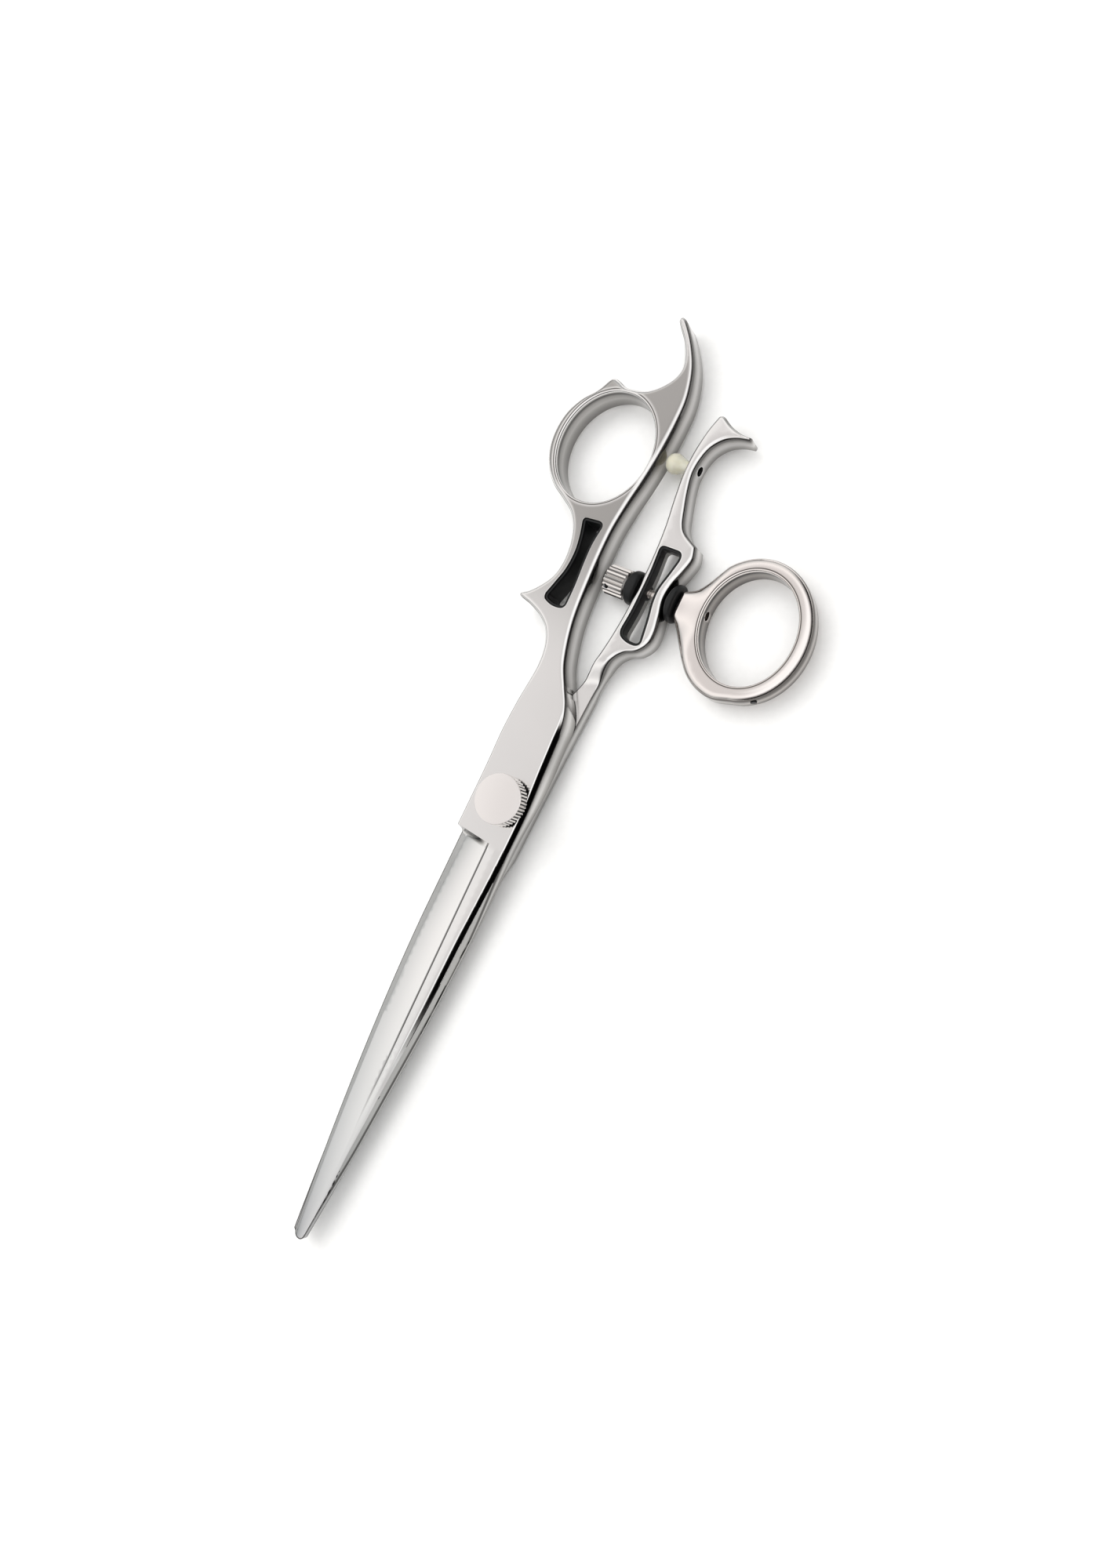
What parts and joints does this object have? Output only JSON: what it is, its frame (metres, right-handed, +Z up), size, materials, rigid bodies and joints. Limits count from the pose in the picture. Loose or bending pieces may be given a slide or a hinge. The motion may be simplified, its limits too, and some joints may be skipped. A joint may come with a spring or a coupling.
{
  "type": "hair cutting shears",
  "caption": "Straight-bladed hairdressing shears with a finger ring and tang, a swivelling thumb ring on a cross bolt, a knurled tension dial at the pivot and a soft closing bumper",
  "frame": {"origin": "on the blade pivot's axis, at the underside of the pivot screw's head, with the shears lying flat on it", "axes": "+X towards the thumb ring, +Y from the pivot to the handles (blade tips at -Y), +Z up through the dial"},
  "size_m": [0.0679, 0.1944, 0.011],
  "materials": {
    "blade_steel": "polished stainless steel, satin-ground between the ring and the tang",
    "satin_steel": "fine satin turned face",
    "hardware_steel": "turned and knurled steel",
    "nylon": "natural nylon bearing parts",
    "black_lining": "black soft lining bonded into the windows",
    "black_rubber": "moulded black rubber",
    "bumper_silicone": "translucent pale yellow silicone",
    "black_screw": "blackened steel"
  },
  "bodies": {
    "lower": {"blade_lower": "blade_steel", "thumb_window_liner": "black_lining", "pivot_screw": "hardware_steel", "ride_washer": "nylon", "bumper": "bumper_silicone", "bumper_stem": "hardware_steel", "swivel_sleeve_inner": "nylon", "swivel_sleeve_outer": "nylon", "knob_washer": "black_rubber"},
    "upper": {"blade_upper": "blade_steel", "finger_slot_liner": "black_lining", "pivot_bushing": "nylon", "tension_spring": "hardware_steel", "click_plate": "hardware_steel"},
    "dial": {"pivot_dial": "hardware_steel", "dial_cap": "satin_steel"},
    "thumb": {"thumb_ring": "blade_steel", "ring_collar": "black_rubber", "swivel_bolt": "hardware_steel", "ring_screw": "black_screw"},
    "knob": {"adjuster_knob": "hardware_steel", "knob_set_screw": "black_screw"}
  },
  "joints": [
    {"name": "blade_pivot", "type": "hinge", "parent": "lower", "child": "upper", "pos_m": [0, 0, 0], "axis": [0, 0, 1], "range_deg": [0, 65]},
    {"name": "dial_turn", "type": "hinge", "parent": "lower", "child": "dial", "pos_m": [0, 0, 0.008], "axis": [0, 0, 1], "continuous": true},
    {"name": "thumb_swivel", "type": "hinge", "parent": "lower", "child": "thumb", "pos_m": [0, 0.0475, 0.0038], "axis": [1, 0, 0], "continuous": true},
    {"name": "knob_turn", "type": "hinge", "parent": "thumb", "child": "knob", "pos_m": [0, 0.0475, 0.0038], "axis": [1, 0, 0], "continuous": true}
  ]
}
